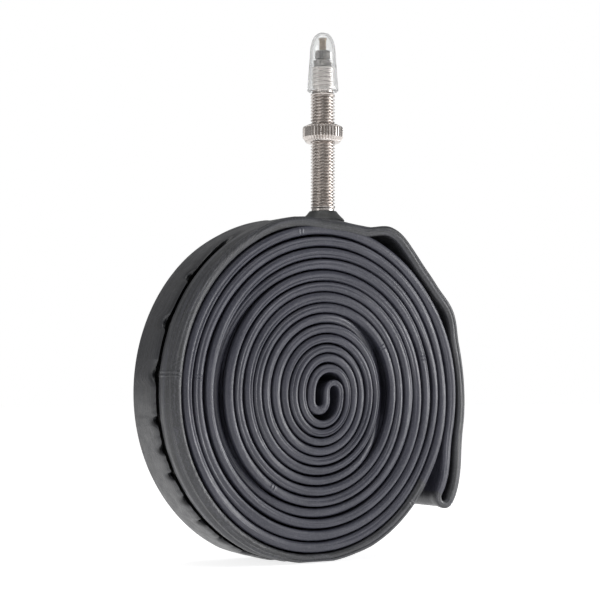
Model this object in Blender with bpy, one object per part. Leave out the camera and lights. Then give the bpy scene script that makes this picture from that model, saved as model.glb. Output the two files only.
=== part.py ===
"""Rolled bicycle inner tube with a Presta valve, as an assembly of separate solids.

The tube is a closed loop of butyl rubber, pressed flat, folded double and rolled up: two arms
wind outward together, an S joins them at the middle and a fold joins them at the lower right.
The valve stands up from the outermost turn.

X is to the right, Y goes back along the roll's axis, Z is up. The origin is on the surface that
the roll stands on, below the middle of the roll. All sizes are in metres.
"""
import math

import bmesh
import bpy
import numpy as np

MM = 0.001

# Flattened tube and roll
BAND_WIDTH = 21.6 * MM        # flat width of the empty tube
BAND_THICKNESS = 1.5 * MM     # two walls pressed together
BAND_EDGE = 0.4 * MM          # rounding of the band's two edges
WINDING_GAP = 0.54 * MM       # free space between two windings, at the middle of the roll
LOOSENING = 0.106 * MM        # how much wider the windings lie with each turn squared
INNER_RADIUS = 3.82 * MM      # where the first winding starts
DRIFT = -1.45 * MM            # sideways shift of the outer turns against the inner ones
DRIFT_TURNS = 2.3             # turns over which the drift builds up
LIFT = 0.85 * MM              # upward shift of the outer turns against the inner ones
LIFT_TURNS = 3.3              # turns over which the lift builds up
OVAL = 0.72 * MM              # how far the turns are out of round
OVAL_LEAN = math.radians(77)  # direction of the long axis
TALLNESS = 1.02               # the standing roll against the same roll lying down
FULL_TURNS = 7                # whole windings of the outer arm, before its last part turn
FOLD_DIRECTION = math.radians(-36.2)
FLAT_DEPTH = 0.5 * MM         # how far the roll is pressed flat where it stands
SEAT_DEPTH = 0.25 * MM        # how far the outermost turn is flattened under the valve
LOBE_RISE = 1.15 * MM         # straight part of each lobe of the S
FOLD_REACH = 1.0 * MM         # how far the fold runs past the last winding
ROUTE_STEP = 0.4 * MM         # spacing of the fine route
ROUTE_SMOOTHING = 3           # smoothing passes over the fine route
CHORD_ERROR = 0.15 * MM       # how far a straight stretch may leave the round route
LEAST_BEND = 60 * MM          # largest radius that the spacing allows for
FLAT_STEP = 2.5 * MM          # spacing of the cross-sections on the two flats

# Slack of the outermost half turn: (direction, half width, height)
OUTER_SLACK = (
    (math.radians(66), math.radians(17), 1.9 * MM),
    (math.radians(66), math.radians(8), 0.4 * MM),
    (math.radians(29), math.radians(11), 1.1 * MM),
    (math.radians(8), math.radians(25), -0.35 * MM),
    (FOLD_DIRECTION, math.radians(25), 4.0 * MM))

# The same for the winding below it
SECOND_SLACK = ((FOLD_DIRECTION, math.radians(22), 2.8 * MM),)

# Fits
TOUCH = 0.3 * MM              # gap kept where two pieces touch
RUNNING = 0.08 * MM           # radial clearance where one piece moves in another

# Valve core, from the pin outward
PIN_ROD_RADIUS = 0.5 * MM
PIN_THREAD_RADIUS = 0.875 * MM
PIN_TIP_SPREAD = 0.175 * MM   # how far the peened tip stands out over the thread
PIN_TIP_HEIGHT = 0.5 * MM
PIN_HEAD_HEIGHT = 0.6 * MM
PIN_ABOVE_CORE = 5.7 * MM     # pin's length above the core's head
PIN_TRAVEL = 2.0 * MM         # how far the pin can be pressed in
SEAL_WALL = 0.6 * MM
SEAL_HEIGHT = 1.5 * MM
SEAL_BEVEL = 0.3 * MM
SEAL_SPACE = 0.3 * MM         # passage for the air round the seal
SPIGOT_WALL = 0.52 * MM
SPIGOT_LENGTH = 7.6 * MM
GASKET_WALL = 0.35 * MM
GASKET_HEIGHT = 1.0 * MM
CORE_THREAD_LENGTH = 6.6 * MM
CORE_HEAD_LIP = 0.2 * MM      # how far the head reaches out over the bore
CORE_HEAD_HEIGHT = 1.4 * MM
CORE_FLAT_DEPTH = 0.55 * MM   # depth of each of the two wrench flats
CORE_FLAT_RISE = 0.25 * MM    # collar left below the flats
CORE_NUT_WALL = 0.9 * MM
CORE_NUT_HEIGHT = 2.2 * MM
CORE_NUT_KNURLS = 20
CORE_NUT_KNURL_DEPTH = 0.16 * MM
CORE_NUT_BEVEL = 0.3 * MM

# Valve stem and base. Heights are above the seat of the base on the tube
VALVE_X = 5.6 * MM            # valve axis, measured from the middle of the roll
THREAD_RADIUS = 2.95 * MM     # M6, outside of the thread
THREAD_DEPTH = 0.42 * MM
THREAD_PITCH = 0.8 * MM
THREAD_TURNS = 35
SHANK_RELIEF = 0.2 * MM       # plain shank below the thread, smaller than the thread
SHANK_HEIGHT = 2.8 * MM
FOOT_LIP = 1.15 * MM          # clinched foot inside the base, round the shank
FOOT_HEIGHT = 0.5 * MM
NECK_WALL = 0.25 * MM
NECK_PLAIN = 1.4 * MM
NECK_THREAD_PITCH = 1.06 * MM
NECK_THREAD_DEPTH = 0.3 * MM
NECK_THREAD_TURNS = 5
CORE_BORE_DEPTH = 8.2 * MM
BASE_WALL = 0.3 * MM          # rubber round the clinched foot
BASE_FLANGE = 0.7 * MM        # how far the flange reaches out
BASE_FLANGE_HEIGHT = 0.5 * MM
BASE_TOP_WALL = 0.35 * MM
BASE_HEIGHT = 2.0 * MM

# Lock ring
RIM_NUT_WALL = 1.92 * MM
RIM_NUT_TOP_WALL = 0.57 * MM
RIM_NUT_FOOT_WALL = 1.07 * MM
RIM_NUT_HEIGHT = 4.4 * MM
RIM_NUT_KNURLS = 36
RIM_NUT_KNURL_DEPTH = 0.35 * MM
RIM_NUT_BEVEL = 0.6 * MM
RIM_NUT_PLACE = 16.1 * MM     # underside of the ring above the start of the thread

# Dust cap
CAP_WALL = 1.12 * MM          # at the rim
CAP_RIM_BEVEL = 0.3 * MM
CAP_SHOULDER_WALL = 0.65 * MM
CAP_CLEARANCE = 0.25 * MM     # round the valve core
CAP_HEADROOM = 0.7 * MM       # over the pin
CAP_TOP_WALL = 0.7 * MM
CAP_DOME = 5.6 * MM           # height of the bullet-shaped end
CAP_DOME_STEPS = 6
CAP_OVERLAP = 5.8 * MM        # how far the cap reaches down over the neck

ROUND = 20                    # sides of a turned piece
CAP_ROUND = 24                # sides of the dust cap

# What follows from the sizes above
TURNS = FULL_TURNS + (math.pi - FOLD_DIRECTION) / (2 * math.pi)
SEAL_BORE = PIN_ROD_RADIUS + TOUCH
SEAL_RADIUS = SEAL_BORE + SEAL_WALL
PIN_HEAD_RADIUS = SEAL_RADIUS - SEAL_BEVEL
STEM_BORE = SEAL_RADIUS + SEAL_SPACE
SPIGOT_RADIUS = PIN_ROD_RADIUS + RUNNING + SPIGOT_WALL
GASKET_BORE = SPIGOT_RADIUS + TOUCH
GASKET_RADIUS = GASKET_BORE + GASKET_WALL
CORE_BORE = GASKET_RADIUS + TOUCH
CORE_HEAD_RADIUS = CORE_BORE + CORE_HEAD_LIP
CORE_NUT_BORE = PIN_THREAD_RADIUS + RUNNING
CORE_NUT_RADIUS = CORE_NUT_BORE + CORE_NUT_WALL
NECK_RADIUS = CORE_BORE + NECK_WALL + NECK_THREAD_DEPTH
SHANK_RADIUS = THREAD_RADIUS - SHANK_RELIEF
FOOT_RADIUS = SHANK_RADIUS + FOOT_LIP
BASE_RECESS = FOOT_RADIUS + TOUCH
BASE_RADIUS = BASE_RECESS + BASE_WALL
RIM_NUT_BORE = THREAD_RADIUS + RUNNING
CAP_BORE = NECK_RADIUS + RUNNING
CAP_INSIDE = max(CORE_HEAD_RADIUS, CORE_NUT_RADIUS) + CAP_CLEARANCE


# ---------------------------------------------------------------- materials

def material(name, colour, roughness, metallic=0.0, transmission=0.0):
    made = bpy.data.materials.new(name)
    made.use_nodes = True
    made.diffuse_color = (*colour, 1.0)
    shader = made.node_tree.nodes["Principled BSDF"]
    shader.inputs["Base Color"].default_value = (*colour, 1.0)
    shader.inputs["Roughness"].default_value = roughness
    shader.inputs["Metallic"].default_value = metallic
    shader.inputs["Transmission Weight"].default_value = transmission
    return made


def new_object(name, verts, faces, look, smooth=True):
    mesh = bpy.data.meshes.new(name)
    mesh.from_pydata([tuple(float(c) for c in v) for v in verts], [], faces)
    mesh.materials.append(look)
    if smooth:
        mesh.shade_smooth()
        mesh.set_sharp_from_angle(angle=math.radians(35))
    made = bpy.data.objects.new(name, mesh)
    bpy.context.scene.collection.objects.link(made)
    return made


# ---------------------------------------------------------------- rolled tube

def winding_radius(turns, angle):
    """Radius of the roll's windings in one direction, after so many turns."""
    per_turn = 2 * (BAND_THICKNESS + WINDING_GAP)
    radius = INNER_RADIUS + per_turn * turns + LOOSENING * turns ** 2
    drift = DRIFT * (1 - math.exp(-turns / DRIFT_TURNS)) * math.cos(angle)
    lift = LIFT * (1 - math.exp(-turns / LIFT_TURNS)) * math.sin(angle)
    return radius + drift + lift + OVAL * math.cos(2 * (angle - OVAL_LEAN))


def slack(places, angle):
    """Extra height of an arm's last half turn where it lies loose on the roll."""
    lift = 0.0
    for direction, half_width, height in places:
        away = abs(math.remainder(angle - direction, 2 * math.pi)) / half_width
        if away < 1:
            lift += height * math.cos(away * math.pi / 2) ** 2
    return lift


def arm_point(turns, start, length, loose):
    """Point of one arm, which winds clockwise outward from its start angle."""
    angle = start - 2 * math.pi * turns
    radius = winding_radius(turns + 0.25, angle)
    if turns > length - 0.5:
        radius += slack(loose, angle)
    return np.array((radius * math.cos(angle), radius * math.sin(angle)))


def arc_points(centre, radius, first, sweep, step):
    count = max(2, int(abs(sweep) * radius / step))
    angles = first + sweep * np.arange(1, count) / count
    return centre + radius * np.stack((np.cos(angles), np.sin(angles)), axis=1)


def line_points(start, end, step):
    count = max(2, int(np.linalg.norm(end - start) / step))
    share = np.arange(count)[:, None] / count
    return start + (end - start) * share


def arm_points(start, length, loose):
    count = int(2 * math.pi * 22 * MM * length / ROUTE_STEP)
    return np.array([arm_point(length * i / count, start, length, loose) for i in range(count + 1)])


def tube_route():
    """Closed middle line of the flat tube in the X-Z plane, as evenly fine points."""
    outer = arm_points(math.pi, TURNS, OUTER_SLACK)
    inner = arm_points(0.0, TURNS - 0.5, SECOND_SLACK)

    # The S: up the right lobe, over it, down the stroke, round the left lobe and up
    rise = np.array((0.0, LOBE_RISE))
    right, left = inner[0], outer[0]
    stroke = 0.0
    right_lobe = np.array(((right[0] + stroke) / 2, right[1])) + rise
    left_lobe = np.array(((left[0] + stroke) / 2, left[1])) - rise
    right_radius = right[0] - right_lobe[0]
    left_radius = left_lobe[0] - left[0]
    middle = np.concatenate((
        line_points(right, right + rise, ROUTE_STEP),
        arc_points(right_lobe, right_radius, 0.0, math.pi, ROUTE_STEP),
        line_points(np.array((stroke, right_lobe[1])), np.array((stroke, left_lobe[1])), ROUTE_STEP),
        arc_points(left_lobe, left_radius, 0.0, -math.pi, ROUTE_STEP),
        line_points(left - rise, left, ROUTE_STEP)))

    # The fold: round from the outermost winding into the one below it
    heading = outer[-1] - outer[-3]
    heading /= np.linalg.norm(heading)
    fold_centre = (outer[-1] + inner[-1]) / 2 + heading * FOLD_REACH
    spoke = (outer[-1] - inner[-1]) / 2
    fold = arc_points(fold_centre, np.linalg.norm(spoke), math.atan2(spoke[1], spoke[0]),
                      -math.pi, ROUTE_STEP)

    route = np.concatenate((middle, outer, fold, inner[::-1][:-1]))
    for _ in range(ROUTE_SMOOTHING):
        route = (np.roll(route, 1, axis=0) + 2 * route + np.roll(route, -1, axis=0)) / 4
    return place_on_floor(route)


def place_on_floor(route):
    """Flatten the route where the roll stands and under the valve, and centre it over the origin."""
    half = BAND_THICKNESS / 2
    route = route * (1, TALLNESS)
    lowest = route[:, 1].min() + FLAT_DEPTH
    route[:, 1] = np.maximum(route[:, 1], lowest)
    route[:, 0] -= (route[:, 0].min() + route[:, 0].max()) / 2
    route[:, 1] += half - lowest
    near = np.abs(route[:, 0] - VALVE_X) < BASE_RADIUS + BASE_FLANGE
    seat = route[near, 1].max() - SEAT_DEPTH
    route[:, 1] = np.minimum(route[:, 1], seat)
    return route, seat + half


def stations(route):
    """Points of the route, and the direction out of the roll there, for the tube's cross-sections.

    They keep the straight stretches within the chord error, and lie closer on the two flats.
    """
    before, after = np.roll(route, 4, axis=0), np.roll(route, -4, axis=0)
    a = np.linalg.norm(route - before, axis=1)
    b = np.linalg.norm(after - route, axis=1)
    c = np.linalg.norm(after - before, axis=1)
    area = np.abs(np.cross(route - before, after - before)) / 2
    bend = 4 * area / np.maximum(a * b * c, 1e-15)
    bend = np.convolve(np.pad(bend, 6, mode="wrap"), np.ones(13) / 13, "valid")
    wanted = np.sqrt(8 * CHORD_ERROR / np.maximum(bend, 1 / LEAST_BEND))
    flat = (route[:, 1] <= route[:, 1].min()) | (route[:, 1] >= route[:, 1].max())
    wanted[flat] = np.minimum(wanted[flat], FLAT_STEP)
    steps = np.linalg.norm(np.roll(route, -1, axis=0) - route, axis=1) / wanted
    run = np.concatenate(((0.0,), np.cumsum(steps)))
    marks = np.arange(int(run[-1])) * run[-1] / int(run[-1])
    heading = np.roll(route, -1, axis=0) - np.roll(route, 1, axis=0)
    heading /= np.linalg.norm(heading, axis=1)[:, None]
    fine = np.stack((route[:, 0], route[:, 1], -heading[:, 1], heading[:, 0]), axis=1)
    fine = np.concatenate((fine, fine[:1]))
    picked = np.stack([np.interp(marks, run, column) for column in fine.T], axis=1)
    return picked[:, :2], picked[:, 2:]


def band_profile():
    """Outline of the flat tube: (across the band's thickness, along the roll's axis)."""
    side, thick, edge = BAND_WIDTH / 2, BAND_THICKNESS / 2, BAND_EDGE
    return ((thick, -side + edge), (thick, side - edge), (thick - edge, side), (edge - thick, side),
            (-thick, side - edge), (-thick, edge - side), (edge - thick, -side), (thick - edge, -side))


def inner_tube(route, look):
    points, outward = stations(route)
    profile = band_profile()
    verts = []
    for point, normal in zip(points, outward):
        for across, along in profile:
            x, z = point + normal * across
            verts.append((x, along, z))
    count, sides = len(points), len(profile)
    faces = []
    for i in range(count):
        here, following = i * sides, (i + 1) % count * sides
        for j in range(sides):
            k = (j + 1) % sides
            faces.append((here + j, following + j, following + k, here + k))
    return new_object("inner_tube", verts, faces, look)


# ---------------------------------------------------------------- turned pieces

def turned(name, outline, look, at, sides=ROUND, knurl_depth=0.0, knurled=()):
    """Turn a closed outline of (radius, height) about the valve's axis.

    A point on the axis closes the piece there. The knurled points have every second vertex set in.
    """
    verts, rings = [], []
    for number, (radius, height) in enumerate(outline):
        if radius == 0:
            rings.append([len(verts)])
            verts.append((at[0], at[1], at[2] + height))
            continue
        ring = []
        for i in range(sides):
            turn = 2 * math.pi * i / sides
            inset = knurl_depth if number in knurled and i % 2 else 0.0
            ring.append(len(verts))
            verts.append((at[0] + (radius - inset) * math.cos(turn),
                          at[1] + (radius - inset) * math.sin(turn), at[2] + height))
        rings.append(ring)
    faces = []
    for n, low in enumerate(rings):
        high = rings[(n + 1) % len(rings)]
        if len(low) == 1 and len(high) == 1:
            continue
        for i in range(sides):
            k = (i + 1) % sides
            if len(low) == 1:
                faces.append((low[0], high[k], high[i]))
            elif len(high) == 1:
                faces.append((low[i], low[k], high[0]))
            else:
                faces.append((low[i], low[k], high[k], high[i]))
    return new_object(name, verts, faces, look)


def thread_outline(radius, depth, pitch, count, bottom):
    """Ridges of a thread, from the bottom up, as outline points."""
    points = []
    for i in range(count):
        base = bottom + i * pitch
        points.append((radius - depth, base))
        points.append((radius, base + pitch / 2))
    points.append((radius - depth, bottom + count * pitch))
    return points


def valve_heights():
    """Heights of the valve's joints above the seat of the valve base."""
    neck = SHANK_HEIGHT + THREAD_TURNS * THREAD_PITCH
    top = neck + NECK_PLAIN + NECK_THREAD_TURNS * NECK_THREAD_PITCH
    head = top + TOUCH
    shoulder = head - CORE_THREAD_LENGTH
    return {"foot": TOUCH, "thread": SHANK_HEIGHT, "neck": neck, "top": top, "core_head": head,
            "core_top": head + CORE_HEAD_HEIGHT, "core_shoulder": shoulder,
            "core_end": shoulder - SPIGOT_LENGTH}


def valve_base(look, at):
    bore = SHANK_RADIUS + TOUCH
    roof = TOUCH + FOOT_HEIGHT + TOUCH
    outline = (
        (BASE_RECESS, 0.0),
        (BASE_RADIUS + BASE_FLANGE, 0.0),
        (BASE_RADIUS + BASE_FLANGE, BASE_FLANGE_HEIGHT * 0.6),
        (BASE_RADIUS + BASE_FLANGE * 0.3, BASE_FLANGE_HEIGHT),
        (BASE_RADIUS, (BASE_FLANGE_HEIGHT + BASE_HEIGHT) / 2),
        (BASE_RADIUS * 0.9, BASE_HEIGHT * 0.78),
        (bore + BASE_TOP_WALL, BASE_HEIGHT),
        (bore, BASE_HEIGHT),
        (bore, roof),
        (BASE_RECESS, roof))
    return turned("valve_base", outline, look, at)


def valve_stem(look, at):
    h = valve_heights()
    core_seat = h["top"] - CORE_BORE_DEPTH
    outline = [
        (STEM_BORE, h["foot"]),
        (FOOT_RADIUS, h["foot"]),
        (FOOT_RADIUS, h["foot"] + FOOT_HEIGHT),
        (SHANK_RADIUS, h["foot"] + FOOT_HEIGHT),
        (SHANK_RADIUS, h["thread"] - SHANK_RELIEF)]
    outline += thread_outline(THREAD_RADIUS, THREAD_DEPTH, THREAD_PITCH, THREAD_TURNS, h["thread"])
    outline.append((NECK_RADIUS - NECK_THREAD_DEPTH, h["neck"] + NECK_PLAIN * 0.3))
    outline += thread_outline(NECK_RADIUS, NECK_THREAD_DEPTH, NECK_THREAD_PITCH,
                              NECK_THREAD_TURNS, h["neck"] + NECK_PLAIN)
    outline += [
        (CORE_BORE, h["top"]),
        (CORE_BORE, core_seat),
        (STEM_BORE, core_seat - (CORE_BORE - STEM_BORE))]
    return turned("valve_stem", outline, look, at)


def rim_nut(look, at):
    bottom = valve_heights()["thread"] + RIM_NUT_PLACE
    radius = RIM_NUT_BORE + RIM_NUT_WALL
    top = bottom + RIM_NUT_HEIGHT
    outline = (
        (RIM_NUT_BORE, bottom),
        (RIM_NUT_BORE + RIM_NUT_FOOT_WALL, bottom),
        (radius, bottom + RIM_NUT_BEVEL),
        (radius, top - RIM_NUT_BEVEL),
        (RIM_NUT_BORE + RIM_NUT_TOP_WALL, top),
        (RIM_NUT_BORE, top))
    return turned("rim_nut", outline, look, at, 2 * RIM_NUT_KNURLS, RIM_NUT_KNURL_DEPTH, (2, 3))


def core_body(look, at):
    h = valve_heights()
    rod_bore = PIN_ROD_RADIUS + RUNNING
    step = h["core_top"] - PIN_TRAVEL - 2 * TOUCH
    outline = (
        (rod_bore, h["core_end"]),
        (SPIGOT_RADIUS, h["core_end"]),
        (SPIGOT_RADIUS, h["core_shoulder"]),
        (CORE_BORE - RUNNING, h["core_shoulder"]),
        (CORE_BORE - RUNNING, h["core_head"]),
        (CORE_HEAD_RADIUS, h["core_head"]),
        (CORE_HEAD_RADIUS, h["core_top"]),
        (CORE_NUT_BORE, h["core_top"]),
        (CORE_NUT_BORE, step),
        (rod_bore, step))
    body = turned("core_body", outline, look, at)
    for side in (-1, 1):
        cut_flat(body, at, side)
    return body


def cut_flat(body, at, side):
    """Cut one wrench flat into the core's head, from the collar up."""
    h = valve_heights()
    low = at[2] + h["core_head"] + CORE_FLAT_RISE
    high = at[2] + h["core_top"] + TOUCH
    near = CORE_HEAD_RADIUS - CORE_FLAT_DEPTH
    far = CORE_HEAD_RADIUS + TOUCH
    cube = bmesh.new()
    bmesh.ops.create_cube(cube, size=1.0)
    centre = (at[0], at[1] + side * (near + far) / 2, (low + high) / 2)
    size = (3 * CORE_HEAD_RADIUS, far - near, high - low)
    for v in cube.verts:
        v.co = [c + s * k for c, s, k in zip(centre, size, v.co)]
    mesh = bpy.data.meshes.new("flat_cutter")
    cube.to_mesh(mesh)
    cube.free()
    cutter = bpy.data.objects.new("flat_cutter", mesh)
    bpy.context.scene.collection.objects.link(cutter)
    cutter.hide_render = True
    cutter.display_type = "WIRE"
    cut = body.modifiers.new("wrench_flat", "BOOLEAN")
    cut.operation = "DIFFERENCE"
    cut.object = cutter


def core_gasket(look, at):
    top = valve_heights()["core_shoulder"] - TOUCH
    outline = ((GASKET_BORE, top - GASKET_HEIGHT), (GASKET_RADIUS, top - GASKET_HEIGHT),
               (GASKET_RADIUS, top), (GASKET_BORE, top))
    return turned("core_gasket", outline, look, at)


def core_pin(look, at):
    h = valve_heights()
    head_top = h["core_end"] - TOUCH - SEAL_HEIGHT - TOUCH
    thread_start = h["core_top"] - TOUCH
    tip = h["core_top"] + PIN_ABOVE_CORE
    tip_radius = PIN_THREAD_RADIUS + PIN_TIP_SPREAD
    outline = (
        (0.0, head_top - PIN_HEAD_HEIGHT),
        (PIN_HEAD_RADIUS, head_top - PIN_HEAD_HEIGHT),
        (PIN_HEAD_RADIUS, head_top),
        (PIN_ROD_RADIUS, head_top),
        (PIN_ROD_RADIUS, thread_start),
        (PIN_THREAD_RADIUS, thread_start),
        (PIN_THREAD_RADIUS, tip - PIN_TIP_HEIGHT),
        (tip_radius, tip - PIN_TIP_HEIGHT * 0.7),
        (tip_radius, tip - PIN_TIP_HEIGHT * 0.3),
        (tip_radius * 0.6, tip),
        (0.0, tip))
    return turned("core_pin", outline, look, at)


def core_seal(look, at):
    top = valve_heights()["core_end"] - TOUCH
    outline = ((SEAL_BORE, top - SEAL_HEIGHT), (SEAL_RADIUS, top - SEAL_HEIGHT),
               (SEAL_RADIUS, top - SEAL_BEVEL), (SEAL_RADIUS - SEAL_BEVEL, top), (SEAL_BORE, top))
    return turned("core_seal", outline, look, at)


def core_nut(look, at):
    bottom = valve_heights()["core_top"] + TOUCH
    top = bottom + CORE_NUT_HEIGHT
    outline = (
        (CORE_NUT_BORE, bottom),
        (CORE_NUT_RADIUS - CORE_NUT_BEVEL, bottom),
        (CORE_NUT_RADIUS, bottom + CORE_NUT_BEVEL),
        (CORE_NUT_RADIUS, top - CORE_NUT_BEVEL),
        (CORE_NUT_RADIUS - CORE_NUT_BEVEL, top),
        (CORE_NUT_BORE, top))
    return turned("core_nut", outline, look, at, 2 * CORE_NUT_KNURLS, CORE_NUT_KNURL_DEPTH, (2, 3))


def dome(radius, bottom, height):
    """Quarter of a blunt oval, from its wide bottom to just short of its top on the axis."""
    points = []
    for i in range(1, CAP_DOME_STEPS):
        turn = math.pi / 2 * i / CAP_DOME_STEPS
        points.append((radius * math.cos(turn) ** 0.8, bottom + height * math.sin(turn)))
    return points


def dust_cap(look, at):
    h = valve_heights()
    bottom = h["top"] - CAP_OVERLAP
    roof = h["core_top"] + PIN_ABOVE_CORE + CAP_HEADROOM
    shoulder = roof + CAP_TOP_WALL - CAP_DOME
    rim = CAP_BORE + CAP_WALL
    outline = [
        (CAP_BORE, bottom),
        (rim - CAP_RIM_BEVEL, bottom),
        (rim, bottom + CAP_RIM_BEVEL),
        (CAP_INSIDE + CAP_SHOULDER_WALL, shoulder)]
    outline += dome(CAP_INSIDE + CAP_SHOULDER_WALL, shoulder, CAP_DOME)
    outline += [(0.0, roof + CAP_TOP_WALL), (0.0, roof)]
    outline += reversed(dome(CAP_INSIDE, shoulder, CAP_DOME - CAP_TOP_WALL))
    outline += [(CAP_INSIDE, shoulder), (CAP_BORE, h["top"] + TOUCH)]
    return turned("dust_cap", outline, look, at, CAP_ROUND)


# ---------------------------------------------------------------- assembly

def build():
    for existing in list(bpy.data.objects):
        bpy.data.objects.remove(existing)

    rubber = material("butyl_rubber", (0.055, 0.056, 0.062), 0.55)
    nickel = material("nickel_plated_brass", (0.62, 0.58, 0.54), 0.3, metallic=1.0)
    brass = material("brass", (0.6, 0.45, 0.25), 0.35, metallic=1.0)
    clear = material("clear_plastic", (0.92, 0.92, 0.92), 0.15, transmission=0.9)
    seal_rubber = material("seal_rubber", (0.03, 0.03, 0.03), 0.7)

    route, seat = tube_route()
    inner_tube(route, rubber)
    at = (VALVE_X, 0.0, seat + TOUCH)
    valve_base(rubber, at)
    valve_stem(nickel, at)
    rim_nut(nickel, at)
    core_body(brass, at)
    core_gasket(seal_rubber, at)
    core_pin(brass, at)
    core_seal(seal_rubber, at)
    core_nut(brass, at)
    dust_cap(clear, at)


build()
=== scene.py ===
"""Looks of the rolled inner tube: detailed rubber band, valve, dust cap, studio and camera."""

import math

import bpy
import numpy as np
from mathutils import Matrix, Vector


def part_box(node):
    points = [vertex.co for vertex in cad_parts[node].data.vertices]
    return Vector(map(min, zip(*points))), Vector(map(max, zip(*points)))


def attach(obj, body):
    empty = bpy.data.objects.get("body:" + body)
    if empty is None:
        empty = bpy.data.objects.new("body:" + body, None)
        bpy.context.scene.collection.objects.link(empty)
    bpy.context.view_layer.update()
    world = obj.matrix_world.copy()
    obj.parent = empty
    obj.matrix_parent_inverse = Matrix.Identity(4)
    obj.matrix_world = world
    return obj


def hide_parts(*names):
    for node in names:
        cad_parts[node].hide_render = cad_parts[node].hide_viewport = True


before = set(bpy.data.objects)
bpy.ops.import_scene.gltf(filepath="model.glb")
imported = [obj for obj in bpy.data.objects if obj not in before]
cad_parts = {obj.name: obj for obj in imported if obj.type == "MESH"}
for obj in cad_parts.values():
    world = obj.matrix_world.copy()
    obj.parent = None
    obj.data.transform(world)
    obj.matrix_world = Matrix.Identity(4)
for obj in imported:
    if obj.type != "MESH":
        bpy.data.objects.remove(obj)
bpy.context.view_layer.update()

MM = 0.001
TAU = 2 * math.pi

# ---------------------------------------------------------------- sizes of the roll

BAND_WIDTH = 21.6 * MM
HALF_WIDTH = BAND_WIDTH / 2
FOLD_DIRECTION = math.radians(-36.2)
FULL_TURNS = 7
TURNS = FULL_TURNS + (math.pi - FOLD_DIRECTION) / TAU   # length of the outer arm
FLAT_DEPTH = 0.2 * MM       # how far the roll is pressed flat where it stands
LOBE_RISE = 1.15 * MM       # straight piece between an arm and its lobe of the S
FOLD_REACH = -0.4 * MM      # how far the fold's middle lies past the ends of the arms
ROUTE_STEP = 0.25 * MM
ROUTE_SMOOTHING = 6         # rounds of smoothing
ARM_RADIUS = 22 * MM        # sets how many points an arm has
WALL = 0.75 * MM            # half of the CAD band's thickness
GAP = 0.38 * MM             # dark gap between two neighbouring beads

TOUCH = 0.3 * MM            # gap between the band and the valve's base
VALVE_X = sum(corner.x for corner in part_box("valve_stem")) / 2
SEAT_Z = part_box("valve_base")[0].z
MIDDLE_X = 0.25 * MM        # the S against the middle of the roll
MIDDLE_Z = 40.4 * MM        # height of the roll's middle

# Loose places of the outermost turn: (direction, half width, height)
OUTER_SLACK = (
    (math.radians(62.5), math.radians(17), 1.6 * MM),
    (math.radians(62.5), math.radians(8), 0.4 * MM),
    (math.radians(29), math.radians(11), 1.1 * MM),
    (math.radians(8), math.radians(25), -0.35 * MM),
    (FOLD_DIRECTION, math.radians(25), 3.5 * MM))
# and of the last half turn of the arm below it
SECOND_SLACK = ((FOLD_DIRECTION, math.radians(22), 2.6 * MM),)
TALLNESS = 1.018            # the standing roll against the same roll lying down

# Places where a winding leaves its even course: (turn, half width in turns, height)
OUTER_DENTS = ((5.5, 0.3, 0.5 * MM), (6.5, 0.3, -0.35 * MM))
INNER_DENTS = ((4.0, 0.3, -0.45 * MM), (5.45, 0.35, -0.5 * MM), (6.9, 0.25, -0.4 * MM))

# Course of the windings in mm: a spiral that loosens outward, shifted and out of round
INNER_RADIUS = 3.82         # radius that the spiral starts from
PITCH = 4.08                # what each turn adds at the middle of the roll
LOOSENING = 0.106           # how much wider the windings lie with each turn squared
START_TURN = 0.25           # the arms begin a quarter turn out on that spiral
DRIFT = -1.45               # sideways shift of the outer turns against the inner ones
DRIFT_TURNS = 2.3           # turns over which the drift builds up
LIFT = 0.85                 # upward shift of the outer turns against the inner ones
LIFT_TURNS = 3.3            # turns over which the lift builds up
OVAL = 0.72                 # how far the turns are out of round
OVAL_LEAN = math.radians(77)    # direction of the long axis


def bump(distance, half_width):
    """Smooth hump, 1 at no distance and 0 beyond the half width."""
    away = np.clip(np.abs(distance) / half_width, 0, 1)
    return np.cos(away * math.pi / 2) ** 2


def ramp(value, low, high):
    """Smooth step from 0 at low to 1 at high."""
    share = np.clip((value - low) / (high - low), 0, 1)
    return share * share * (3 - 2 * share)


def winding_radius(turns, angle):
    """Radius of the windings in one direction, after so many turns."""
    radius = INNER_RADIUS + PITCH * turns + LOOSENING * turns ** 2
    drift = DRIFT * (1 - np.exp(-turns / DRIFT_TURNS)) * np.cos(angle)
    lift = LIFT * (1 - np.exp(-turns / LIFT_TURNS)) * np.sin(angle)
    return (radius + drift + lift + OVAL * np.cos(2 * (angle - OVAL_LEAN))) * MM


def arm(start, length, loose, dents):
    """Points of one arm, which winds clockwise outward: rows of x, z, turns."""
    count = int(TAU * ARM_RADIUS * length / ROUTE_STEP)
    turns = length * np.arange(count + 1) / count
    angle = start - TAU * turns
    radius = winding_radius(turns + START_TURN, angle)
    for direction, half_width, height in loose:
        away = np.remainder(angle - direction + math.pi, TAU) - math.pi
        radius = radius + height * bump(away, half_width) * (turns > length - 0.5)
    for turn, half_width, height in dents:
        radius = radius + height * bump(turns - turn, half_width)
    return np.stack((radius * np.cos(angle), radius * np.sin(angle), turns), axis=1)


def arc(centre, radius, first, sweep):
    """Points of an arc, without its two ends."""
    count = max(3, int(abs(sweep) * radius / ROUTE_STEP))
    angles = first + sweep * np.arange(1, count) / count
    return np.asarray(centre) + radius * np.stack((np.cos(angles), np.sin(angles)), axis=1)


def line(start, end):
    """Points of a straight piece, without its end."""
    count = max(2, int(np.linalg.norm(end - start) / ROUTE_STEP))
    return start + (end - start) * np.arange(count)[:, None] / count


S_PART, OUTER_ARM, FOLD, INNER_ARM = range(4)


def with_part(points, part, turns=0.0):
    """Rows of x, z, part, turns."""
    part_column = np.full(len(points), float(part))
    turns_column = np.full(len(points), turns) if np.isscalar(turns) else turns
    return np.column_stack((points[:, :2], part_column, turns_column))


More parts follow.
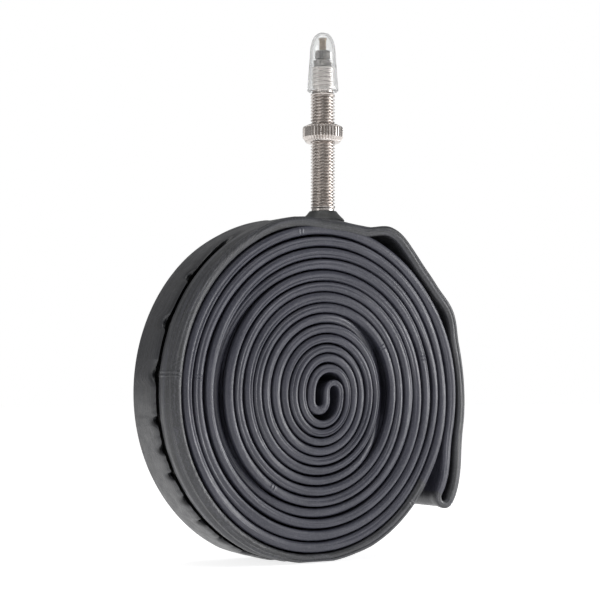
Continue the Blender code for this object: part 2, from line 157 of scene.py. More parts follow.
def tube_route():
    """Closed middle line of the band in the X-Z plane: rows of x, z, part, turns."""
    outer = arm(math.pi, TURNS, OUTER_SLACK, OUTER_DENTS)
    inner = arm(0.0, TURNS - 0.5, SECOND_SLACK, INNER_DENTS)
    rise = np.array((0.0, LOBE_RISE))
    right, left = inner[0, :2], outer[0, :2]
    right_lobe = np.array((right[0] / 2, right[1])) + rise
    left_lobe = np.array((left[0] / 2, left[1])) - rise
    middle = np.concatenate((
        line(right, right + rise),
        arc(right_lobe, right[0] - right_lobe[0], 0.0, math.pi),
        line(np.array((0.0, right_lobe[1])), np.array((0.0, left_lobe[1]))),
        arc(left_lobe, left_lobe[0] - left[0], 0.0, -math.pi),
        line(left - rise, left)))
    heading = outer[-1, :2] - outer[-3, :2]
    heading /= np.linalg.norm(heading)
    spoke = (outer[-1, :2] - inner[-1, :2]) / 2
    centre = (outer[-1, :2] + inner[-1, :2]) / 2 + heading * FOLD_REACH
    fold = arc(centre, np.linalg.norm(spoke), math.atan2(spoke[1], spoke[0]), -math.pi)
    route = np.concatenate((
        with_part(middle, S_PART), with_part(outer, OUTER_ARM, outer[:, 2]),
        with_part(fold, FOLD), with_part(inner[::-1][:-1], INNER_ARM, inner[::-1][:-1, 2])))
    for _ in range(ROUTE_SMOOTHING):
        route[:, :2] = (np.roll(route[:, :2], 1, axis=0) + 2 * route[:, :2]
                        + np.roll(route[:, :2], -1, axis=0)) / 4
    route[:, 1] *= TALLNESS
    lowest = route[:, 1].min() + FLAT_DEPTH
    route[:, 1] = np.maximum(route[:, 1], lowest)
    route[:, 0] += MIDDLE_X
    route[:, 1] += WALL - lowest
    route[:, 1] = np.minimum(route[:, 1], SEAT_Z - TOUCH - WALL)
    return route


# ---------------------------------------------------------------- the band

# Spacing of the cross-sections: close where the band bends, at the outside and at mould marks
BEND_REACH = 8              # route points to each side over which the bend is averaged
STEP_PER_BEND = 0.12        # spacing times bend
LEAST_STEP, MOST_STEP = 0.22 * MM, 0.8 * MM
OUTSIDE_STEP, OUTSIDE_TURN = 0.3 * MM, 6.65     # spacing at the outside, and where that starts
MARK_STEP, MARK_REACH = 0.13 * MM, 0.012        # spacing at a mark, and its reach in turns

FREE = 9 * MM               # distance that stands for no neighbour
NEAR = 5 * MM               # a winding closer than this shapes the bead that faces it
BESIDE = 7 * MM             # a winding closer than this is reached where the gap closes
CLOSED_GAP = 0.03 * MM      # half of what is left open there
WAIST_INSET = 0.22 * MM     # how much lower the wall is between its beads
WAIST_GAP = 0.3 * MM        # the least that a waist keeps from the half-way line


def smoothed(values, reach):
    """Running mean over so many neighbours on each side, closed on itself."""
    kernel = np.ones(2 * reach + 1) / (2 * reach + 1)
    return np.convolve(np.pad(values, reach, mode="wrap"), kernel, "valid")


def stations(route):
    """Cross-section places along the route: rows of x, z, part, turns, run; and normals."""
    ahead, behind = np.roll(route[:, :2], -3, axis=0), np.roll(route[:, :2], 3, axis=0)
    first, second = route[:, :2] - behind, ahead - route[:, :2]
    turn = np.arctan2(first[:, 0] * second[:, 1] - first[:, 1] * second[:, 0],
                      (first * second).sum(axis=1))
    bend = np.abs(turn) / np.maximum(np.linalg.norm(second, axis=1), 1e-9)
    bend = smoothed(bend, BEND_REACH)
    wanted = np.clip(STEP_PER_BEND / np.maximum(bend, 1.0), LEAST_STEP, MOST_STEP)
    part, turns = route[:, 2], route[:, 3]
    wanted[(part == FOLD) | ((part == OUTER_ARM) & (turns > OUTSIDE_TURN))] = OUTSIDE_STEP
    for mark_part, mark_turn in MOULD_MARKS:
        wanted[(part == mark_part) & (np.abs(turns - mark_turn) < MARK_REACH)] = MARK_STEP
    lengths = np.linalg.norm(np.roll(route[:, :2], -1, axis=0) - route[:, :2], axis=1)
    run = np.concatenate(((0.0,), np.cumsum(lengths)))
    steps = np.concatenate(((0.0,), np.cumsum(lengths / wanted)))
    marks = np.arange(int(steps[-1])) * steps[-1] / int(steps[-1])
    heading = np.roll(route[:, :2], -1, axis=0) - np.roll(route[:, :2], 1, axis=0)
    heading /= np.linalg.norm(heading, axis=1)[:, None]
    columns = np.column_stack((route, run[:-1], -heading[:, 1], heading[:, 0]))
    columns = np.concatenate((columns, columns[:1]))
    columns[-1, 4] = run[-1]
    columns[-1, 2] = columns[-2, 2]
    columns[-1, 3] = columns[-2, 3]
    picked = np.stack([np.interp(marks, steps, c) for c in columns.T], axis=1)
    return picked[:, :5], picked[:, 5:]


def waves(run, seed, lengths):
    """Slow unevenness along the band, about -1 to 1, which closes on itself."""
    total = run[-1]
    rng = np.random.default_rng(seed)
    value = 0.0
    for length in lengths:
        cycles = max(1, round(total / length))
        value = value + rng.uniform(0.6, 1.0) * np.sin(TAU * (run / total * cycles + rng.random()))
    return value / len(lengths)


CAP_STEPS = 20              # steps round each edge bead
CAP_ROOM = 1.05             # depth of an edge bead, as share of its half thickness
INWARD_STEPS = 11           # points across the wall that faces inward
INWARD_SHARE = 0.86         # how far out these lie, as share of the half width
GROOVE_Y = -1.5 * MM        # groove round the outermost turn, from the middle of the width

# The groove's section from front to back in mm: (across the width, height), from its middle
GROOVE_SECTION = (
    (-8.6, 0.05), (-8.1, 0.0), (-7.3, -0.15), (-6.6, -0.45), (-5.9, -0.20), (-5.2, 0.30),
    (-4.5, 0.55), (-3.7, 0.48), (-2.9, 0.28), (-2.1, 0.15), (-1.5, 0.05), (-1.05, -0.15),
    (-0.85, -0.7), (-0.65, -1.4), (0.0, -1.8), (1.2, -1.75), (1.9, -1.2), (1.5, -0.55),
    (0.75, -0.10), (0.35, 0.30), (0.25, 0.50),
    (0.45, 0.68), (0.9, 0.80), (1.6, 0.84), (2.8, 0.84), (4.2, 0.80), (6.0, 0.76), (8.5, 0.7),
    (10.6, 0.4))
GROOVE_LIP = (17, 23)       # the points that pucker
GROOVE_INSIDE = (12, 19)    # the points inside the groove, painted black as painted shade
BACK_SHADE = 0.4            # how much darker the strip behind the groove is painted, as painted shade

# Transverse marks of the mould across the band: (part, turn)
MOULD_MARKS = ((OUTER_ARM, 7.02), (OUTER_ARM, 6.02), (INNER_ARM, 6.72), (OUTER_ARM, 6.63),
               (INNER_ARM, 4.35), (OUTER_ARM, 3.4), (OUTER_ARM, 5.45))

# Stretches whose front edge lies deeper in the roll: (part, from turn, to turn, depth)
SUNK = ((OUTER_ARM, 4.75, 5.25, 2.4 * MM), (INNER_ARM, 2.72, 3.22, 2.8 * MM),
        (OUTER_ARM, 5.8, 6.15, 0.5 * MM))


def clearances(place, normal, route):
    """Distance from each cross-section to the next winding's middle line, outward and inward."""
    run = np.concatenate(((0.0,), np.cumsum(
        np.linalg.norm(np.diff(route[:, :2], axis=0), axis=1))))
    total = run[-1]
    result = []
    for i in range(len(place)):
        offset = route[:, :2] - place[i, :2]
        across = offset @ normal[i]
        along = np.abs(offset @ np.array((normal[i, 1], -normal[i, 0])))
        apart = np.abs(run - place[i, 4])
        apart = np.minimum(apart, total - apart)
        near = (along < 0.5 * MM) & (apart > 5 * MM)
        out = across[near & (across > 0.8 * MM)]
        inward = -across[near & (across < -0.8 * MM)]
        result.append((min(out, default=FREE), min(inward, default=FREE)))
    distances = np.minimum(np.array(result), FREE)
    return [smoothed(column, 4) for column in distances.T]


def wall_height(edge, y, bead, distance):
    """Height of a wall above the band's middle line, at a distance from the band's nearer edge."""
    limit = np.where(distance < NEAR, distance / 2, bead)
    waist = np.minimum(bead - WAIST_INSET, limit - WAIST_GAP)
    height = waist + (bead - waist) * (1 - ramp(edge, 1.0 * MM, 3.2 * MM))
    closing = ramp(y, -1 * MM, 2 * MM) * (1 - ramp(y, 6 * MM, 8 * MM))
    reached = np.maximum(distance / 2 - CLOSED_GAP, height)
    touching = np.where(distance < BESIDE, reached, height)
    return height + (touching - height) * closing


def bead_thickness(z, run, outermost, folded, out_distance, in_distance):
    """Half thickness of the rounded beads at the band's edges, outward and inward."""
    total = run[-1]
    uneven = 0.05 * MM * waves(run, 5, (0.037, 0.061, 0.113))
    slim = bump(np.minimum(run, total - run), 18 * MM)      # thinner about the S
    most = (1.25 - 0.60 * slim) * MM
    free = (1.15 - 0.50 * slim) * MM
    gap = GAP * (1 + 0.9 * waves(run, 21, (0.053, 0.091, 0.149)))
    bead_out = np.where(out_distance < NEAR, (out_distance - gap) / 2, free)
    bead_in = np.where(in_distance < NEAR, (in_distance - gap) / 2, free)
    resting = outermost * (z < 3 * MM)
    bead_out = np.where(resting, WALL + 0.1 * MM, bead_out)
    least, in_fold = 0.55 * MM, 0.9 * MM
    bead_out = np.where(folded, in_fold, np.clip(bead_out, least, most)) + uneven
    bead_in = np.where(folded, in_fold, np.clip(bead_in, least, most)) - uneven
    return smoothed(bead_out, 7), smoothed(bead_in, 7)


def band_edges(part, turns, run, outermost):
    """Where the front and back edges lie across the width."""
    front = -HALF_WIDTH + (0.10 + 0.40 * waves(run, 3, (0.083, 0.137, 0.211))
                           + 0.12 * waves(run, 4, (0.031, 0.043))) * MM
    back = HALF_WIDTH - (0.35 + 0.4 * waves(run, 8, (0.071, 0.127, 0.241))) * MM
    for sunk_part, low, high, depth in SUNK:
        middle, half = (low + high) / 2, (high - low) / 2
        elsewhere = 100.0 * (np.round(part) != sunk_part)
        front = front + depth * bump(turns + elsewhere - middle, half)
    return np.where(outermost, np.minimum(front, -HALF_WIDTH), front), back


def groove_opening(angle):
    """How far the groove's lip is drawn open, about 0 to 1, in a direction in degrees."""
    turn_over, long_pucker, short_pucker = 188, 17.5, 9.3       # degrees
    past = angle - turn_over
    saw = np.remainder(np.where(angle < turn_over, past / long_pucker, past / short_pucker), 1.0)
    # The sine takes degrees for radians: the width wavers about once in six degrees
    opening = bump(saw - 0.25, 0.25 + 0.05 * np.sin(angle))
    opening = opening * ramp(angle, 128, 140) * (1 - ramp(angle, 250, 258))
    crinkle = 0.12 * np.sin(TAU * angle / 2.7) * ramp(angle, 170, 200)
    return np.maximum(opening + crinkle, 0.30 * (1 - ramp(angle, 128, 150)))


def mould_ticks(part, turns, run):
    """Height of the twin ridges that the mould left across the band."""
    tick = 0.0 * run
    for mark_part, mark_turn in MOULD_MARKS:
        elsewhere = 100.0 * (np.round(part) != mark_part)
        nearest = np.argmin(np.abs(turns - mark_turn) + elsewhere)
        for twin in (-0.45 * MM, 0.45 * MM):
            tick = tick + 0.11 * MM * bump(run - run[nearest] - twin, 0.28 * MM)
    return tick


def band_surface(route):
    """The band's closed surface: points, rows, columns and the marks that its look uses."""
    place, normal = stations(route)
    x, z, part, turns, run = place.T
    angle = np.degrees(np.arctan2(z - MIDDLE_Z, x)) % 360
    outer = (part > 0.5) & (part < 1.5)
    folded = (part > 1.5) & (part < 2.5)
    outermost = (outer & (turns > TURNS - 1)) | folded
    out_distance, in_distance = clearances(place, normal, route)
    bead_out, bead_in = bead_thickness(z, run, outermost, folded, out_distance, in_distance)
    front, back = band_edges(part, turns, run, outermost)

    count = len(GROOVE_SECTION)
    section_y = np.array([p[0] for p in GROOVE_SECTION]) * MM + GROOVE_Y
    section_h = np.array([p[1] for p in GROOVE_SECTION]) * MM
    groove = outermost * outer * ramp(turns, 6.68, 6.78) * (1 - ramp(turns, 7.13, 7.20))
    plain_y = np.linspace(section_y[0], section_y[-1], count)
    opening = groove_opening(angle)
    # The loose corner's front edge hangs down
    droop = outer * (ramp(turns, 7.19, 7.27) - ramp(turns, 7.29, 7.32)) * 1.7 * MM
    tick = mould_ticks(part, turns, run)
    rim_bead = outermost * 0.4 * MM * bump(angle - 185, 75)     # fuller edge at the left

    # Outward wall with the groove, from front to back
    heights, along, painted_shade = [], [], []
    for j in range(count):
        # Painted shade: black for the points inside the groove, BACK_SHADE darker for the strip
        # behind it
        inside = GROOVE_INSIDE[0] <= j <= GROOVE_INSIDE[1]
        shaded = BACK_SHADE * (j > GROOVE_INSIDE[1])
        painted_shade.append(groove * max(inside, shaded))
        y = plain_y[j] * (1 - groove) + section_y[j] * groove
        y = np.clip(y, front + bead_out * CAP_ROOM, back - bead_out * CAP_ROOM)
        height = wall_height(np.minimum(y - front, back - y), y, bead_out, out_distance)
        height = height + section_h[j] * groove
        height = height + rim_bead * (1 - ramp(y - front, 1.8 * MM, 3.6 * MM))
        if GROOVE_LIP[0] <= j <= GROOVE_LIP[1]:
            reach = 1 - abs(j - sum(GROOVE_LIP) / 2) / 4
            y = y + groove * (opening * 2.7 - 1.15) * MM * reach
            height = height - groove * opening * 0.6 * MM * reach
        heights.append(height + tick * (y < GROOVE_Y - 1.2 * MM))
        along.append(y)

    # Back edge, inward wall and front edge
    middle, half = (bead_out - bead_in) / 2, (bead_out + bead_in) / 2
    alphas = np.linspace(-math.pi / 2, math.pi / 2, CAP_STEPS + 1)
    for a in alphas[::-1][1:]:
        heights.append(middle + half * np.sin(a))
        along.append(back - half * CAP_ROOM + half * CAP_ROOM * np.abs(np.cos(a)) ** 0.9)
    for share in np.linspace(INWARD_SHARE, -INWARD_SHARE, INWARD_STEPS):
        y = share * HALF_WIDTH + 0 * front
        heights.append(-wall_height(np.minimum(y - front, back - y), y, bead_in, in_distance))
        along.append(y)
    middle, half = middle + rim_bead / 2, half + rim_bead / 2
    crease = np.clip(0.45 + 1.1 * waves(run, 11, (0.09, 0.17)), 0, 1) * 0.26 * MM
    lean = 0.30 * waves(run, 31, (0.067, 0.121, 0.203))
    mould_line = outermost * 0.12 * MM
    for a in alphas[:-1]:
        depth = crease * bump(a - 0.25, 0.35) + lean * half * math.sin(a) * math.cos(a) ** 0.5
        heights.append(middle + half * np.sin(a) + mould_line * bump(a - 1.1, 0.16))
        along.append(front + half * CAP_ROOM - half * np.abs(np.cos(a)) ** 0.5 + depth - tick)

    heights, along = np.stack(heights, axis=1), np.stack(along, axis=1)
    heights = heights - droop[:, None] * (1 - ramp(along, -10 * MM, -4 * MM))
    px = x[:, None] + normal[:, :1] * heights
    pz = np.maximum(z[:, None] + normal[:, 1:] * heights, 0.0)
    verts = np.stack((px, along, pz), axis=2).reshape(-1, 3)
    around = np.cumsum(np.hypot(np.diff(heights, axis=1, prepend=heights[:, :1]),
                                np.diff(along, axis=1, prepend=along[:, :1])), axis=1)
    painted_shade += [0.0 * run] * (along.shape[1] - count)
    # The last mark carries the painted shade of the groove and of the strip behind it
    marks = {"outermost": np.repeat(outermost[:, None], along.shape[1], axis=1),
             "run": np.repeat(run[:, None], along.shape[1], axis=1), "around": around,
             "painted_shade": np.stack(painted_shade, axis=1)}
    return verts, len(x), along.shape[1], marks


def grid_faces(rows, columns):
    """Quads of a grid that closes on itself both ways."""
    i = np.arange(rows)[:, None]
    j = np.arange(columns)[None, :]
    here, there = i * columns, ((i + 1) % rows) * columns
    k = (j + 1) % columns
    quads = np.stack((here + j, there + j, there + k, here + k), axis=2)
    return quads.reshape(-1, 4)


def new_mesh(name, verts, faces, looks, smooth_angle):
    """A mesh object with one material, smooth except at edges sharper than the angle."""
    mesh = bpy.data.meshes.new(name)
    mesh.from_pydata(np.asarray(verts).tolist(), [], [list(map(int, f)) for f in faces])
    mesh.materials.append(looks)
    mesh.shade_smooth()
    mesh.set_sharp_from_angle(angle=math.radians(smooth_angle))
    mesh.validate()
    made = bpy.data.objects.new(name, mesh)
    bpy.context.scene.collection.objects.link(made)
    return made


# ---------------------------------------------------------------- materials


def math_node(tree, operation, first, second):
    """A maths node between two sockets or plain numbers."""
    node = tree.nodes.new("ShaderNodeMath")
    node.operation = operation
    for socket, value in zip(node.inputs, (first, second)):
        if isinstance(value, (int, float)):
            socket.default_value = value
        else:
            tree.links.new(value, socket)
    return node.outputs[0]


class Nodes:
    """Short way to make node materials."""

    def __init__(self, name):
        self.material = bpy.data.materials.new(name)
        self.material.use_nodes = True
        self.tree = self.material.node_tree
        self.shader = self.tree.nodes["Principled BSDF"]
        self.place = self.tree.nodes.new("ShaderNodeTexCoord").outputs["Object"]

    def set(self, **values):
        for name, value in values.items():
            self.shader.inputs[name.replace("_", " ")].default_value = value

    def link(self, source, target):
        self.tree.links.new(source, target)

    def noise(self, scale, detail=3.0, roughness=0.55, stretch=(1, 1, 1), offset=0.0):
        mapping = self.tree.nodes.new("ShaderNodeMapping")
        mapping.inputs["Scale"].default_value = stretch
        mapping.inputs["Location"].default_value = (offset, offset, offset)
        self.link(self.place, mapping.inputs["Vector"])
        node = self.tree.nodes.new("ShaderNodeTexNoise")
        node.inputs["Scale"].default_value = scale
        node.inputs["Detail"].default_value = detail
        node.inputs["Roughness"].default_value = roughness
        self.link(mapping.outputs["Vector"], node.inputs["Vector"])
        return node.outputs["Fac"]

    def spread(self, value, low, high, to_low, to_high):
        node = self.tree.nodes.new("ShaderNodeMapRange")
        node.inputs["From Min"].default_value = low
        node.inputs["From Max"].default_value = high
        node.inputs["To Min"].default_value = to_low
        node.inputs["To Max"].default_value = to_high
        self.link(value, node.inputs["Value"])
        return node.outputs["Result"]

    def mix(self, share, first, second):
        node = self.tree.nodes.new("ShaderNodeMix")
        node.data_type = "RGBA"
        for socket, colour in ((node.inputs[6], first), (node.inputs[7], second)):
            if isinstance(colour, tuple):
                socket.default_value = (*colour, 1.0)
            else:
                self.link(colour, socket)
        self.link(share, node.inputs[0])
        return node.outputs[2]

    def math(self, operation, first, second):
        return math_node(self.tree, operation, first, second)

    def attribute(self, name):
        node = self.tree.nodes.new("ShaderNodeAttribute")
        node.attribute_name = name
        return node.outputs["Fac"]

    def relief(self, height, distance, strength):
        node = self.tree.nodes.new("ShaderNodeBump")
        node.inputs["Strength"].default_value = strength
        node.inputs["Distance"].default_value = distance
        self.link(height, node.inputs["Height"])
        self.link(node.outputs["Normal"], self.shader.inputs["Normal"])


STREAKS_ALONG, STREAKS_ACROSS = 60.0, 2400.0    # per metre of the band's run and section
# Colour of the painted shade inside the groove
PAINTED_SHADE_BLACK = (0.002, 0.002, 0.002)


def rubber_material():
    """Satin butyl rubber with talc left in it, fine streaks along the band, and painted shade at
    the groove.
    """
    n = Nodes("butyl_rubber")
    cloud = n.noise(140, 4)
    grain = n.noise(2600, 2)
    dust = n.noise(900, 4, 0.65, offset=3.0)
    streak_place = n.tree.nodes.new("ShaderNodeCombineXYZ")
    n.link(n.math("MULTIPLY", n.attribute("run"), STREAKS_ALONG), streak_place.inputs[0])
    n.link(n.math("MULTIPLY", n.attribute("around"), STREAKS_ACROSS), streak_place.inputs[1])
    streak_node = n.tree.nodes.new("ShaderNodeTexNoise")
    streak_node.inputs["Scale"].default_value = 1.0
    streak_node.inputs["Detail"].default_value = 3.0
    n.link(streak_place.outputs[0], streak_node.inputs["Vector"])
    streak = streak_node.outputs["Fac"]
    inner = n.mix(n.spread(cloud, 0.35, 0.65, 0, 1),
                  (0.028, 0.029, 0.042), (0.041, 0.042, 0.058))
    outer = n.mix(n.spread(cloud, 0.35, 0.65, 0, 1),
                  (0.028, 0.029, 0.031), (0.038, 0.039, 0.041))
    base = n.mix(n.attribute("outermost"), inner, outer)
    streaked = n.mix(n.spread(streak, 0.45, 0.75, 0, 0.5), base, (0.10, 0.102, 0.128))
    dusty = n.mix(n.spread(grain, 0.52, 0.74, 0, 0.4), streaked, (0.13, 0.13, 0.15))
    # Painted shade: black inside the groove and darker on the strip behind it
    n.link(n.mix(n.attribute("painted_shade"), dusty, PAINTED_SHADE_BLACK), n.shader.inputs["Base Color"])
    n.link(n.spread(n.noise(500, 3, offset=7.0), 0.3, 0.7, 0.30, 0.44),
           n.shader.inputs["Roughness"])
    height = n.math("ADD", n.math("MULTIPLY", grain, 0.5), n.math("MULTIPLY", dust, 0.8))
    n.relief(n.math("ADD", height, n.math("MULTIPLY", streak, 1.6)), 0.00006, 0.7)
    return n.material


def base_rubber_material():
    """Cleaner moulded rubber of the valve's base."""
    n = Nodes("moulded_rubber")
    cloud = n.noise(260, 4)
    base = n.mix(n.spread(cloud, 0.35, 0.65, 0, 1),
                 (0.026, 0.028, 0.028), (0.042, 0.044, 0.043))
    n.link(base, n.shader.inputs["Base Color"])
    n.link(n.spread(n.noise(700, 3, offset=2.0), 0.3, 0.7, 0.3, 0.46),
           n.shader.inputs["Roughness"])
    n.relief(n.noise(2200, 3), 0.00004, 0.5)
    return n.material


def metal_material(name, dark, light, roughness):
    """Stained metal with fine lines round the axis, left by turning."""
    n = Nodes(name)
    stain = n.noise(600, 4)
    lines = n.noise(90, 3, stretch=(1, 1, 60), offset=5.0)
    n.link(n.mix(n.spread(stain, 0.35, 0.65, 0, 1), dark, light), n.shader.inputs["Base Color"])
    n.link(n.spread(lines, 0.3, 0.7, roughness * 0.75, roughness * 1.35),
           n.shader.inputs["Roughness"])
    n.relief(n.math("ADD", lines, n.noise(3000, 2)), 0.00001, 0.5)
    n.set(Metallic=1.0)
    return n.material


def clear_material():
    """Clear plastic with a little haze."""
    n = Nodes("clear_plastic")
    haze = n.noise(400, 3)
    n.link(n.mix(haze, (0.90, 0.91, 0.91), (0.96, 0.96, 0.96)), n.shader.inputs["Base Color"])
    n.link(n.spread(haze, 0.3, 0.7, 0.03, 0.09), n.shader.inputs["Roughness"])
    n.relief(n.noise(900, 2, offset=4.0), 0.00003, 0.3)
    n.set(Transmission_Weight=0.93, IOR=1.42)
    return n.material


def seal_material():
    """Plain black rubber of the hidden seals."""
    n = Nodes("seal_rubber")
    speck = n.noise(1500, 3)
    n.link(n.mix(speck, (0.02, 0.02, 0.02), (0.05, 0.05, 0.05)), n.shader.inputs["Base Color"])
    n.link(n.spread(speck, 0.3, 0.7, 0.55, 0.8), n.shader.inputs["Roughness"])
    n.relief(speck, 0.00003, 0.6)
    return n.material


RUBBER = rubber_material()
MOULDED = base_rubber_material()
NICKEL = metal_material("nickel_plate", (0.50, 0.462, 0.435), (0.62, 0.578, 0.55), 0.28)
BRASS = metal_material("brass", (0.24, 0.185, 0.13), (0.32, 0.25, 0.18), 0.36)
CORE_METAL = metal_material("core_metal", (0.17, 0.16, 0.15), (0.26, 0.245, 0.23), 0.36)
CLEAR = clear_material()
SEAL = seal_material()

# ---------------------------------------------------------------- the pieces

verts, rows, columns, band_marks = band_surface(tube_route())
tube = new_mesh("tube_band", verts, grid_faces(rows, columns), RUBBER, 50)
for name, values in band_marks.items():
    attribute = tube.data.attributes.new(name, "FLOAT", "POINT")
    attribute.data.foreach_set("value", values.reshape(-1).astype(np.float32))
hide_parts("inner_tube")
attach(tube, "tube")

# ---------------------------------------------------------------- the valve

STEM_SIDES = 96


def fine(outline, longest):
    """The closed outline with points added so that no stretch is longer than that."""
    points = []
    for i, (radius, height) in enumerate(outline):
        next_radius, next_height = outline[(i + 1) % len(outline)]
        count = max(1, int(math.hypot(next_radius - radius, next_height - height) / longest))
        for k in range(count):
            points.append((radius + (next_radius - radius) * k / count,
                           height + (next_height - height) * k / count))
    return np.array(points)


def in_mm(outline):
    """An outline given in mm, as lengths in metres."""
    return [(radius * MM, height * MM) for radius, height in outline]


def turned(name, outline, look, longest, sides=STEM_SIDES, shape=None, smooth_angle=40):
    """Turn a closed outline of (radius, height over the seat) about the valve's axis.

    shape(angle, radius, height) gives the radius that the surface has there.
    """
    points = fine(outline, longest)
    angle = TAU * np.arange(sides) / sides
    radius = np.repeat(points[:, :1], sides, axis=1)
    height = np.repeat(points[:, 1:], sides, axis=1)
    angles = np.repeat(angle[None, :], len(points), axis=0)
    if shape:
        radius = shape(angles, radius, height)
    x, y = VALVE_X + radius * np.cos(angles), radius * np.sin(angles)
    verts = np.stack((x, y, SEAT_Z + height), axis=2).reshape(-1, 3)
    return new_mesh(name, verts, grid_faces(len(points), sides)[:, ::-1], look, smooth_angle)


def thread(bottom, top, outside, depth, pitch, fade=0.6 * MM):
    """Helical thread cut into the surface that lies at the outside radius."""
    def shape(angle, radius, height):
        phase = np.remainder((height - bottom) / pitch - angle / TAU, 1.0)
        ridge = 1 - np.abs(2 * phase - 1)
        cut = depth * (1 - np.clip(ridge * 1.5 - 0.22, 0, 1))
        here = ramp(height, bottom, bottom + fade) * (1 - ramp(height, top - fade, top))
        surface = np.abs(radius - outside) < 0.02 * MM
        return radius - cut * here * surface
    return shape


def piece(made, node, body):
    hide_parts(node)
    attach(made, body)


THREAD_BOTTOM, THREAD_TOP, THREAD_OUTSIDE = 2.8 * MM, 30.8 * MM, 2.98 * MM
NECK_TOP, NECK_OUTSIDE, NECK_THREAD = 37.5 * MM, 2.63 * MM, 32.2 * MM


def valve_base():
    """Moulded base with flared flanks."""
    outline = ((4.2, 0.0), (5.3, -0.35), (5.1, 0.0), (4.75, 0.35), (4.35, 0.75), (4.0, 1.1),
               (3.7, 1.45), (3.5, 1.75), (3.3, 1.95), (2.8, 2.0), (2.8, 1.2), (3.9, 1.2),
               (3.9, 0.15), (3.7, 0.15))
    return turned("valve_boot", in_mm(outline), MOULDED, 0.2 * MM, smooth_angle=60)


def valve_stem():
    """Foot, threaded stem and the thinner threaded neck, with a bore up the middle."""
    outline = ((1.7, 0.3), (3.8, 0.3), (3.8, 1.1), (2.75, 1.1), (2.75, 2.5), (2.98, 2.8),
               (2.98, 30.8), (2.62, 31.05), (2.55, 31.3), (2.6, 32.1), (2.63, 32.2), (2.63, 37.4),
               (2.45, 37.5), (2.08, 37.5), (2.08, 29.3), (1.7, 28.9))
    cut = thread(THREAD_BOTTOM, THREAD_TOP, THREAD_OUTSIDE, 0.5 * MM, 0.8 * MM)
    neck_cut = thread(NECK_THREAD, NECK_TOP, NECK_OUTSIDE, 0.3 * MM, 1.06 * MM)

    def shape(angle, radius, height):
        return neck_cut(angle, cut(angle, radius, height), height)
    return turned("valve_stem_threaded", in_mm(outline), NICKEL, 0.1 * MM, shape=shape)


def knurls(count, depth, low, high, outside):
    """Straight V-shaped knurls between two heights, cut in from the outside."""
    fade = 0.25 * MM

    def shape(angle, radius, height):
        wave = np.abs(np.remainder(angle / TAU * count, 1.0) * 2 - 1)
        cut = depth * np.clip(1.25 * wave - 0.25, 0, 1)
        here = ramp(height, low, low + fade) * (1 - ramp(height, high - fade, high))
        return radius - cut * here * ramp(radius, outside - 0.8 * MM, outside - 0.3 * MM)
    return shape


RING_KNURLS, NUT_KNURLS = 38, 20
SIDES_PER_KNURL = 10


def rim_nut():
    """Knurled lock ring on the stem's thread."""
    low = 18.9 * MM
    bore, outside = 3.03 * MM, 4.95 * MM
    top = low + 4.4 * MM
    outline = ((bore, low), (4.0 * MM, low), (4.15 * MM, low + 0.1 * MM),
               (4.75 * MM, low + 1.0 * MM), (outside, low + 1.25 * MM), (outside, top - 0.8 * MM),
               (4.75 * MM, top - 0.5 * MM), (3.9 * MM, top - 0.1 * MM), (3.7 * MM, top),
               (bore + 0.2 * MM, top), (bore, top - 0.2 * MM))
    return turned("lock_ring", outline, NICKEL, 0.15 * MM, RING_KNURLS * SIDES_PER_KNURL, knurls(
        RING_KNURLS, 0.38 * MM, low + 0.2 * MM, top - 0.2 * MM, outside))


def core_body():
    """Valve core with two spanner flats on its head."""
    head, flat = 37.8 * MM, 1.7 * MM
    outline = ((0.58, 23.6), (1.1, 23.6), (1.1, 31.2), (2.0, 31.2), (2.0, 37.8), (2.2, 37.8),
               (2.25, 37.88), (2.25, 39.05), (2.1, 39.2), (0.96, 39.2), (0.96, 36.6), (0.58, 36.6))

    def shape(angle, radius, height):
        across = np.abs(radius * np.sin(angle))
        cut = (height > head + 0.25 * MM) & (across > flat) & (radius > 1.5 * MM)
        return np.where(cut, flat / np.maximum(np.abs(np.sin(angle)), 0.1), radius)
    return turned("core_body_fine", in_mm(outline), CORE_METAL, 0.2 * MM, shape=shape)


def core_nut():
    """Small knurled nut on the pin."""
    low, outside = 39.5 * MM, 1.85 * MM
    top = low + 2.2 * MM
    outline = ((0.96 * MM, low), (1.6 * MM, low), (outside, low + 0.22 * MM),
               (outside, top - 0.3 * MM), (1.7 * MM, top - 0.08 * MM), (1.5 * MM, top),
               (0.96 * MM, top))
    return turned("core_nut_knurled", outline, CORE_METAL, 0.12 * MM, NUT_KNURLS * SIDES_PER_KNURL,
                  knurls(NUT_KNURLS, 0.2 * MM, low + 0.1 * MM, top - 0.15 * MM, outside))


def core_pin():
    """Pin with its seat below, a threaded upper part and a peened tip."""
    outline = ((0.05, 20.9), (1.1, 20.9), (1.1, 21.5), (0.5, 21.5), (0.5, 39.5), (0.875, 39.5),
               (0.875, 44.35), (1.0, 44.45), (1.05, 44.6), (1.02, 44.76), (0.85, 44.86),
               (0.5, 44.9), (0.05, 44.9))
    cut = thread(39.5 * MM, 44.3 * MM, 0.875 * MM, 0.12 * MM, 0.4 * MM, 0.2 * MM)
    return turned("core_pin_threaded", in_mm(outline), BRASS, 0.06 * MM, STEM_SIDES // 2, cut)


